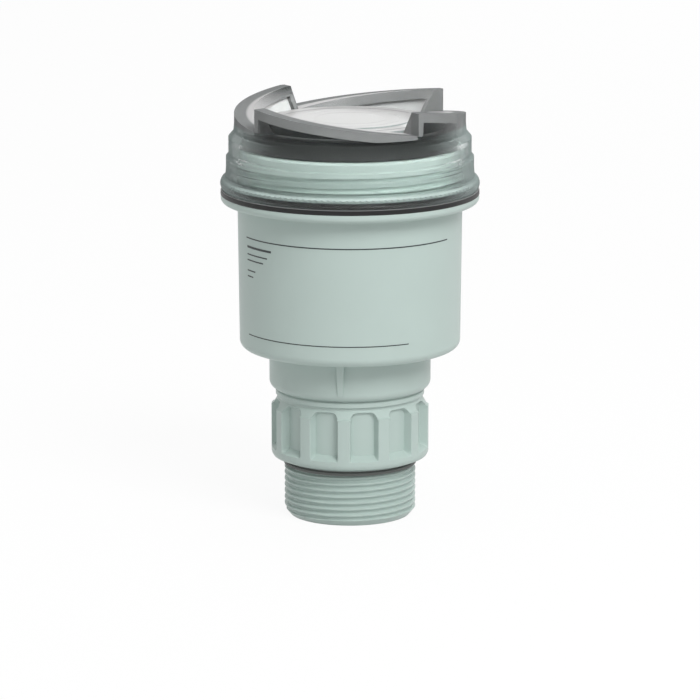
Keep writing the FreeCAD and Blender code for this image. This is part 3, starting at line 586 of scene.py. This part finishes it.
def fittingOuter(theta, z, endZ, seatTop, top):
    # Thread below the seal, plain seat through it, collar above it
    f = fitting
    share = (z / f["pitch"] + f["phase"] - theta / (2 * math.pi)) % 1.0
    wave = np.interp(share, threadShares, threadHeights)
    fade = smoothStep(0.0, -f["reliefTop"], z)
    thread = f["rootR"] + (f["crestR"] - f["rootR"]) * wave * fade
    chamfer = f["endR"] + (f["crestR"] - f["endR"]) * (z - endZ) / f["chamfer"]
    envelope = collarEnvelope(z, seatTop, top)
    core = np.minimum(f["coreR"], envelope)
    collar = envelope - (envelope - core) * pocketShare(theta, z, seatTop, top)
    return np.where(z < 0, np.minimum(thread, chamfer), np.where(z < seatTop, f["seatR"], collar))


def makeFitting():
    f = fitting
    endZ, top = low("process_fitting"), high("process_fitting")
    seatTop = high("process_seal") + f["sealGap"]
    theta = fittingColumns()[None, :]
    floorLow, floorHigh = seatTop + f["floorLow"], seatTop + f["floorHigh"]
    corner = top - f["roofDrop"] - f["cornerR"]
    z = np.concatenate([
        np.linspace(endZ, -f["hair"], f["threadRows"]),
        [0.0, seatTop - f["hair"]],
        np.linspace(seatTop, floorLow, f["plainRows"]),
        np.linspace(floorLow + 0.2, floorHigh, f["plainRows"]),
        np.linspace(floorHigh + 0.4, corner - 1.0, f["plainRows"]),
        np.linspace(corner - 0.7, top, f["roofRows"]),  # close rows for the pockets' rounded roofs
    ])
    outer = fittingOuter(theta, z[:, None], endZ, seatTop, top)
    grooveHigh, grooveLow = top - f["ringDrop"] + f["ringHalf"], top - f["ringDrop"] - f["ringHalf"]
    grooveR = f["spigotR"] + f["ringDepth"]
    lensZ = endZ + f["lensSeat"]
    inside = np.array([
        (f["spigotR"], top), (f["spigotR"], grooveHigh), (grooveR, grooveHigh), (grooveR, grooveLow),
        (f["spigotR"], grooveLow), (f["spigotR"], f["spigotFloor"]), (f["sleeveR"], f["spigotFloor"]),
        (f["sleeveR"], lensZ), (f["boreR"], lensZ), (f["boreR"], endZ),
    ])
    r = np.concatenate([outer, inside[:, :1] + 0 * theta])
    heights = np.concatenate([z, inside[:, 1]])[:, None] + 0 * theta
    points, faces = turnedGrid(r, heights, theta)
    piece = meshPiece("threadedCollar", points, faces, finishes["fitting_plastic"], "process_fitting",
                      sharp=35)
    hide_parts("process_fitting")


flatSeal = {
    "innerR": 23.3, "outerR": 24.2, "beadR": 23.5, "ringHeight": 1.1, "edge": 0.15, "step": 0.05, "gap": 0.05,
}


def makeSeal():
    # A fibre ring below, and a thin bead above it that stands back, so the joint shows as a dark line
    s = flatSeal
    start, end = low("process_seal"), high("process_seal") + fitting["sealGap"] - s["gap"]
    inner, outer, edge = s["innerR"], s["outerR"], s["edge"]
    waist = start + s["ringHeight"]
    profile = [(inner, start), (outer - edge, start), (outer, start + edge), (outer, waist - edge),
               (outer - edge, waist), (s["beadR"], waist + s["step"]), (s["beadR"], end), (inner, end)]
    piece = makeTurned("flatSeal", profile, finishes["process_seal"], "process_fitting",
                       count=180, sharp=40)
    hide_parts("process_seal")


makeFitting()
makeSeal()
print("process fitting made")


# Screw threads between lid and housing, the foot round the neck, and the seal's edge in the seam, which also
# paints the notch's shade

ridge = {"pitch": 3.3, "crestShare": 0.55, "rootShare": 0.95, "fade": 0.8, "rowsPerTurn": 18, "columns": 200}
mouthThread = {"root": 41.0, "crest": 42.0, "back": 40.4, "low": 105.4, "high": 113.7, "shift": 0.174}
lidThread = {"root": 42.42, "crest": 42.1, "back": 42.6, "low": 102.0, "high": 111.6, "shift": 0.5}
neckFoot = [(25.9, 27.82), (25.9, 28.3), (26.5, 28.3), (26.85, 28.0), (26.75, 27.82)]
# The lid seal's edge, drawn out in black into the seam between lid and flange: partly the real seal, partly
# painted shade of the notch
sealEdgeAndSeamShade = [(44.85, 100.56), (45.4, 100.45), (45.95, 100.1), (46.35, 99.7), (46.6, 99.35),
            (46.68, 99.5), (46.62, 100.6), (46.3, 100.86), (44.85, 100.86)]


def ridgeBand(theta, z, thread, pitch):
    # Radius root + (crest - root) x wave of a right-handed ridge, faded out near each end. At share
    # s = z / pitch + shift - theta / 2 pi the wave is 1 within the crest's share of the pitch,
    # 0 outside the root's share, and a rounded flank between
    share = (z / pitch + thread["shift"] - theta / (2 * math.pi)) % 1.0
    wave = smoothStep(ridge["rootShare"], ridge["crestShare"], np.abs(share - 0.5) * 2)
    start, end, fade = z.min(), z.max(), ridge["fade"]
    ends = smoothStep(start, start + fade, z) * smoothStep(end, end - fade, z)
    return thread["root"] + (thread["crest"] - thread["root"]) * wave * ends


def makeThread(name, thread, slot, body):
    theta = fullTurn(ridge["columns"])
    rows = int((thread["high"] - thread["low"]) / ridge["pitch"] * ridge["rowsPerTurn"])
    z = np.linspace(thread["low"], thread["high"], rows)[:, None]
    points, faces = bandGrid(ridgeBand(theta, z, thread, ridge["pitch"]), z, theta, thread["back"])
    meshPiece(name, points, faces, finishes[slot], body)


makeThread("mouthThread", mouthThread, "housing_plastic", "housing")
makeThread("lidThread", lidThread, "lid_clear", "lid")
makeTurned("neckFoot", neckFoot, finishes["housing_plastic"], "housing")
makeTurned("sealEdgeAndSeamShade", sealEdgeAndSeamShade, finishes["oring_rubber"], "lid_seal")


# Solid parts of the lid's ramp wings: a lip under each ramp and a wall at its high end, inside the clear form;
# and a sheet of painted shade in the hollow below each lip

wings = {
    "count": 4, "first": 35.4, "span": 90.0, "steps": 40,
    "outerR": 41.57, "topR": 37.45, "lean": 0.62, "side": 0.1,
    "top": 133.42, "rampHigh": 133.67, "rampLow": 125.37, "underHigh": 130.38, "underLow": 124.18,
    "lipEnd": 0.75,
    "wallStart": 0.15, "wallEnd": 2.9, "wallStep": 0.2, "foot": 125.3, "rampStart": 5.0, "rampEnd": 89.5,
    "shadeSheetStart": 0.5, "shadeSheetEnd": 58.0, "shadeSheetGap": 0.3, "shadeSheetLow": 124.35, "shadeSheetSet": 2.35,
    "shadeSheetWall": 0.25,
}


def wingInnerR(level):
    # The inner side leans outwards with the height
    return wings["topR"] - wings["lean"] * (wings["top"] - level)


def wingCore(first):
    # Four-cornered sections swept along the ramp: tall in the end wall, a lip that thins out after it
    w = wings
    ramp = np.linspace(w["rampStart"], w["rampEnd"], w["steps"])
    degrees = np.concatenate([[w["wallStart"], w["wallEnd"], w["wallEnd"] + w["wallStep"]], ramp])
    share = degrees / w["span"]
    topZ = np.minimum(w["top"], w["rampHigh"] + (w["rampLow"] - w["rampHigh"]) * share)
    under = w["underHigh"] + (w["underLow"] - w["underHigh"]) * np.minimum(share / w["lipEnd"], 1)
    lowZ = np.where(degrees <= w["wallEnd"], w["foot"], under)
    outer = w["outerR"] + 0 * share
    r = np.stack([outer, wingInnerR(topZ) + w["side"], wingInnerR(lowZ) + w["side"], outer], axis=1)
    z = np.stack([topZ, topZ, lowZ, lowZ], axis=1)
    return sweptBar(r, z, np.radians(first + degrees)[:, None])


def wingShadeSheet(first):
    # A thin sheet of painted shade close to the leaning inner wall, in the hollow below the lip; it stands for
    # shade, not for a part
    w = wings
    degrees = np.linspace(w["wallEnd"] + w["shadeSheetStart"], w["shadeSheetEnd"], w["steps"])
    fall = (w["underLow"] - w["underHigh"]) * degrees / w["span"] / w["lipEnd"]
    under = w["underHigh"] + fall - w["shadeSheetGap"]
    lowZ = w["shadeSheetLow"] + 0 * degrees
    highR, lowR = wingInnerR(under) + w["shadeSheetSet"], wingInnerR(lowZ) + w["shadeSheetSet"]
    r = np.stack([highR + w["shadeSheetWall"], highR, lowR, lowR + w["shadeSheetWall"]], axis=1)
    z = np.stack([under, under, lowZ, lowZ], axis=1)
    return sweptBar(r, z, np.radians(first + degrees)[:, None])


# The sheets in the hollows are painted shade
for name, form, material in (("wingSolids", wingCore, wingSolid), ("wingShadeSheets", wingShadeSheet, paintedWingShade)):
    points, faces = joinParts([form(wings["first"] + wings["span"] * index) for index in range(wings["count"])])
    meshPiece(name, points, faces, material, "lid")
print("wings made")


# Fine marks on the lid: teeth round the skirt's foot, rings on the window plate, and a painted highlight along
# the bead's lower edge

skirt = {
    "teeth": 128, "perTooth": 8, "rows": 16, "low": 103.6, "high": 105.2, "r": 45.5, "backR": 45.3,
    "reach": 0.45, "edge": 104.6, "swing": 0.6, "soft": 0.3, "topSoft": 0.9,
}
plateLine = {
    "thick": 0.1, "edge": 0.03, "crown": 0.12,
    "rings": [(26.0, 26.7, 126.0, wingSolid), (17.6, 18.4, 126.5, finishes["lid_clear"]),
              (12.6, 13.4, 126.5, finishes["lid_clear"])],
}
# A grey ring that paints the highlight on the lid bead's lower edge
beadHighlight = [(45.5, 100.92), (46.35, 100.92), (46.35, 101.1), (45.5, 101.15)]


def makeSkirtTeeth():
    # The lower edge swings down at each tooth: edge - swing x |cos(teeth x turn / 2)|
    k = skirt
    theta = fullTurn(k["teeth"] * k["perTooth"])
    z = np.linspace(k["low"], k["high"], k["rows"])[:, None]
    edge = k["edge"] - k["swing"] * np.abs(np.cos(k["teeth"] * theta / 2))
    share = smoothStep(edge - k["soft"], edge, z) * smoothStep(k["high"], k["high"] - k["topSoft"], z)
    points, faces = bandGrid(k["r"] + k["reach"] * share, z, theta, k["backR"])
    meshPiece("skirtTeeth", points, faces, frostedTeeth, "lid", sharp=60)


def makePlateLines():
    p = plateLine
    for index, (inner, outer, level, look) in enumerate(p["rings"]):
        profile = [(inner, level - p["thick"]), (outer, level - p["thick"]), (outer, level + p["edge"]),
                   ((inner + outer) / 2, level + p["crown"]), (inner, level + p["edge"])]
        makeTurned("plateLine" + str(index + 1), profile, look, "lid")


makeSkirtTeeth()
makePlateLines()
makeTurned("beadHighlight", beadHighlight, wingSolid, "lid")
print("lid marks made")


# Thread on the cable gland

glandThread = {
    "pitch": 1.5, "root": 8.86, "crest": 9.14, "back": 8.5, "shift": 0.0, "run": 6.6, "endGap": 0.4,
    "rows": 80, "columns": 96,
}


def alongGland(points, height):
    # Turns a form made about +Z so that it lies along +Y at the gland's height: (x, y, z) -> (x, z, height - y)
    return np.stack([points[:, 0], points[:, 2], height - points[:, 1]], axis=1)


def makeGlandThread():
    g = glandThread
    theta = fullTurn(g["columns"])
    end = high("gland_body", 1) - g["endGap"]
    z = np.linspace(end - g["run"], end, g["rows"])[:, None]
    points, faces = bandGrid(ridgeBand(theta, z, g, g["pitch"]), z, theta, g["back"])
    points = alongGland(points, (low("gland_nut") + high("gland_nut")) / 2)
    meshPiece("glandThread", points, faces, finishes["gland_plastic"], "housing")


makeGlandThread()
print("threads made")


# Print on the drum: two rule lines, and plain bars where a label's fields would be

label = {
    "drumLowR": 40.0, "drumHighR": 40.55, "drumLow": 46.1, "drumHigh": 95.0, "proud": 0.05, "sunk": 0.1,
    "stepDeg": 1.5, "fewest": 4,
    "rules": [(86.2, -65.9, 58.8, 0.42), (50.9, -64.7, 31.4, 0.34)],
    "bars": [(83.0, -65.0, -44.0, 0.8), (80.3, -65.0, -47.0, 0.45), (78.2, -65.0, -50.0, 0.45),
             (74.4, -65.0, -57.0, 0.45), (72.3, -65.0, -59.0, 0.45)],
}


def drumRadius(z):
    # The drum widens evenly from its foot to its flange
    return np.interp(z, [label["drumLow"], label["drumHigh"]], [label["drumLowR"], label["drumHighR"]])


def makeStrip(z, start, end, width):
    # A thin curved bar: a four-cornered section swept round the drum from start to end, angles from the front
    count = max(int(abs(end - start) / label["stepDeg"]), label["fewest"])
    theta = np.radians(-90 + np.linspace(start, end, count))[:, None]
    levels = np.array([z - width / 2, z + width / 2, z + width / 2, z - width / 2])
    depth = np.array([label["proud"], label["proud"], -label["sunk"], -label["sunk"]])
    return sweptBar((drumRadius(levels) + depth)[None, :] + 0 * theta, levels[None, :], theta)


for name, rows in (("printedRules", label["rules"]), ("printedBars", label["bars"])):
    points, faces = joinParts([makeStrip(*row) for row in rows])
    meshPiece(name, points, faces, ink, "housing")
print("print made")


# Display: segments on the panel and signs on the keys

screen = {
    "digits": "1.684", "digitWidth": 3.6, "digitHeight": 7.0, "left": 6.0, "rise": 1.0, "gap": 1.6, "bar": 0.75,
    "inset": 0.5, "dot": 0.6, "lift": 0.02, "thick": 0.05,
    "ticks": 14, "ticksLit": 9, "tickLeft": 4.5, "tickStep": 1.8, "tickLow": 2.4, "tickHigh": 1.5,
    "tickWide": 0.9, "tickThin": 0.25,
}
segmentMap = {"1": "bc", "6": "acdefg", "8": "abcdefg", "4": "bcfg"}
keySign = {"size": 1.5, "stroke": 0.42, "thick": 0.1, "sunk": 0.05, "ringR": 0.8, "ringStepDeg": 30}

# Each sign's strokes about the key's centre, as shares of the sign's size
signStrokes = {
    "next": [(-0.4, 0.8, 0.5, 0), (0.5, 0, -0.4, -0.8)],
    "plus": [(-0.8, 0, 0.8, 0), (0, -0.8, 0, 0.8)],
    "back": [(0.4, 0.8, -0.5, 0), (-0.5, 0, 0.4, -0.8)],
}


def flatBar(x0, y0, x1, y1, width, bottom, thick):
    # A flat bar from one point to another: four corners offset by half its width, at two levels
    along = np.array([x1 - x0, y1 - y0])
    along = along / np.hypot(*along)
    across = np.array([-along[1], along[0]]) * width / 2
    corners = np.array([[x0, y0] - across, [x1, y1] - across, [x1, y1] + across, [x0, y0] + across])
    points = np.concatenate([np.c_[corners, np.full(4, bottom)], np.c_[corners, np.full(4, bottom + thick)]])
    faces = np.array([[3, 2, 1, 0], [4, 5, 6, 7], [0, 1, 5, 4], [1, 2, 6, 5], [2, 3, 7, 6], [3, 0, 4, 7]])
    return points, outward(points, faces)


def digitBars(mark, x, y, level):
    # Seven-segment bars of one digit, each drawn in from the corners it shares
    s = screen
    w, h = s["digitWidth"], s["digitHeight"]
    ends = {"a": (0, h, w, h), "b": (w, h, w, h / 2), "c": (w, h / 2, w, 0), "d": (0, 0, w, 0),
            "e": (0, h / 2, 0, 0), "f": (0, h, 0, h / 2), "g": (0, h / 2, w, h / 2)}
    bars = []
    for segment in segmentMap[mark]:
        ax, ay, bx, by = ends[segment]
        if ay == by:
            ax, bx = ax + s["inset"], bx - s["inset"]
        else:
            ay, by = ay - s["inset"], by + s["inset"]
        bars.append(flatBar(x + ax, y + ay, x + bx, y + by, s["bar"], level, s["thick"]))
    return bars


def makeSegments():
    s = screen
    (x0, y0, _), (_, y1, top) = boxOf("display_panel")
    x, y = x0 + s["left"], (y0 + y1) / 2 - s["digitHeight"] / 2 + s["rise"]
    level = top + s["lift"]
    parts = []
    for mark in s["digits"]:
        if mark == ".":
            middle, half = x - s["gap"] / 2, s["dot"] / 2
            parts.append(flatBar(middle - half, y, middle + half, y, s["dot"], level, s["thick"]))
        else:
            parts += digitBars(mark, x, y, level)
            x += s["digitWidth"] + s["gap"]
    for index in range(s["ticks"]):
        tick = x0 + s["tickLeft"] + index * s["tickStep"]
        width = s["tickWide"] if index < s["ticksLit"] else s["tickThin"]
        parts.append(flatBar(tick, y - s["tickLow"], tick, y - s["tickHigh"], width, level, s["thick"]))
    points, faces = joinParts(parts)
    meshPiece("displaySegments", points, faces, ink, "display")


def ringStrokes():
    # Short strokes round a circle
    turn = np.radians(np.arange(0, 361, keySign["ringStepDeg"]))
    x, y = keySign["ringR"] * np.cos(turn), keySign["ringR"] * np.sin(turn)
    return list(zip(x[:-1], y[:-1], x[1:], y[1:]))


def makeKeySign(mark, strokes):
    k = keySign
    (x0, y0, _), (x1, y1, top) = boxOf("key_" + mark)
    centre = np.array([(x0 + x1) / 2, (y0 + y1) / 2] * 2)
    points, faces = joinParts([
        flatBar(*(centre + k["size"] * np.array(stroke)), k["stroke"], top - k["sunk"], k["thick"])
        for stroke in strokes])
    meshPiece("keySign_" + mark, points, faces, finishes["display_face"], "key_" + mark)


makeSegments()
makeKeySign("ok", ringStrokes())
for mark, strokes in signStrokes.items():
    makeKeySign(mark, strokes)
print("display made")


# Floor, light and camera

studio = {
    "floorSize": 12.0, "floorRough": 0.8, "floorTone": 0.66, "floorSwing": 0.99, "floorCloud": 3.0,
    "floorWhite": 1.04, "cameraShare": 0.88, "white": 1.0, "worldStrength": 0.45,
    "keyPlace": (0.68, -1.27, 1.43), "keySize": 1.0, "keyPower": 25.5,
    "topPlace": (0.1, -0.1, 1.5), "topSize": 1.2, "topPower": 3.0,
    "backPlace": (0.4, 1.6, 0.8), "backSize": 1.2, "backPower": 4.0,
    "target": (0.0, 0.0, 0.06), "aim": (0.0, 0.0, 0.0413), "elevation": 12.2, "distance": 1.585,
    "lens": 224.4, "sensor": 36.0, "farthest": 50.0,
}


def whiteRays(tree):
    # 1 for rays from the camera, a mirror surface or through glass
    rays = tree.nodes.new("ShaderNodeLightPath")
    seen = calc(tree, "MAXIMUM", rays.outputs["Is Camera Ray"], rays.outputs["Is Glossy Ray"])
    return calc(tree, "MAXIMUM", seen, rays.outputs["Is Transmission Ray"])


def makeFloor():
    size, level = studio["floorSize"], cadBounds[0][2]
    mesh = bpy.data.meshes.new("floor")
    corners = [(-size, -size, level), (size, -size, level), (size, size, level), (-size, size, level)]
    mesh.from_pydata(corners, [], [(0, 1, 2, 3)])
    floor = bpy.data.objects.new("floor", mesh)
    bpy.context.scene.collection.objects.link(floor)
    material, tree, shader = newMaterial("paleFloor", studio["floorRough"])
    tone = studio["floorTone"]
    toneToo = tone * studio["floorSwing"]
    cloud = addNode(tree, "ShaderNodeTexNoise", Vector=objectPlace(tree), Scale=studio["floorCloud"])
    colour = mixColour(tree, cloud.outputs["Fac"], (tone, tone, tone, 1), (toneToo, toneToo, toneToo, 1))
    feed(tree, shader.inputs["Base Color"], colour)
    glow = addNode(tree, "ShaderNodeEmission", Color=(1, 1, 1, 1), Strength=studio["floorWhite"])
    share = calc(tree, "MULTIPLY", whiteRays(tree), studio["cameraShare"])
    surface = mixShader(tree, share, shader.outputs[0], glow.outputs[0])
    feed(tree, tree.nodes["Material Output"].inputs["Surface"], surface)
    mesh.materials.append(material)


def makeWorld():
    world = bpy.data.worlds.new("studioWorld")
    bpy.context.scene.world = world
    world.use_nodes = True
    tree = world.node_tree
    sky = tree.nodes["Background"]
    sky.inputs["Color"].default_value = (1, 1, 1, 1)
    plain = studio["worldStrength"]
    strength = calc(tree, "MULTIPLY_ADD", whiteRays(tree), studio["white"] - plain, plain)
    feed(tree, sky.inputs["Strength"], strength)


def makeLamp(name):
    data = bpy.data.lights.new(name, "AREA")
    data.shape = "DISK"
    data.size = studio[name + "Size"]
    data.energy = studio[name + "Power"]
    lamp = bpy.data.objects.new(name, data)
    lamp.visible_glossy = False  # no round glare on the clear lid
    bpy.context.scene.collection.objects.link(lamp)
    place = Vector(studio[name + "Place"])
    lamp.location = place
    lamp.rotation_euler = (Vector(studio["target"]) - place).to_track_quat("-Z", "Y").to_euler()


def makeCamera():
    data = bpy.data.cameras.new("photoCamera")
    data.lens = studio["lens"]
    data.sensor_width = studio["sensor"]
    data.clip_end = studio["farthest"]
    camera = bpy.data.objects.new("photoCamera", data)
    bpy.context.scene.collection.objects.link(camera)
    tilt = math.radians(studio["elevation"])
    aim = Vector(studio["aim"])
    camera.location = aim + studio["distance"] * Vector((0, -math.cos(tilt), math.sin(tilt)))
    camera.rotation_euler = (aim - camera.location).to_track_quat("-Z", "Y").to_euler()
    bpy.context.scene.camera = camera


makeFloor()
makeWorld()
for name in ("key", "top", "back"):
    makeLamp(name)
makeCamera()
bpy.context.scene.view_settings.view_transform = "Standard"
print("studio made")
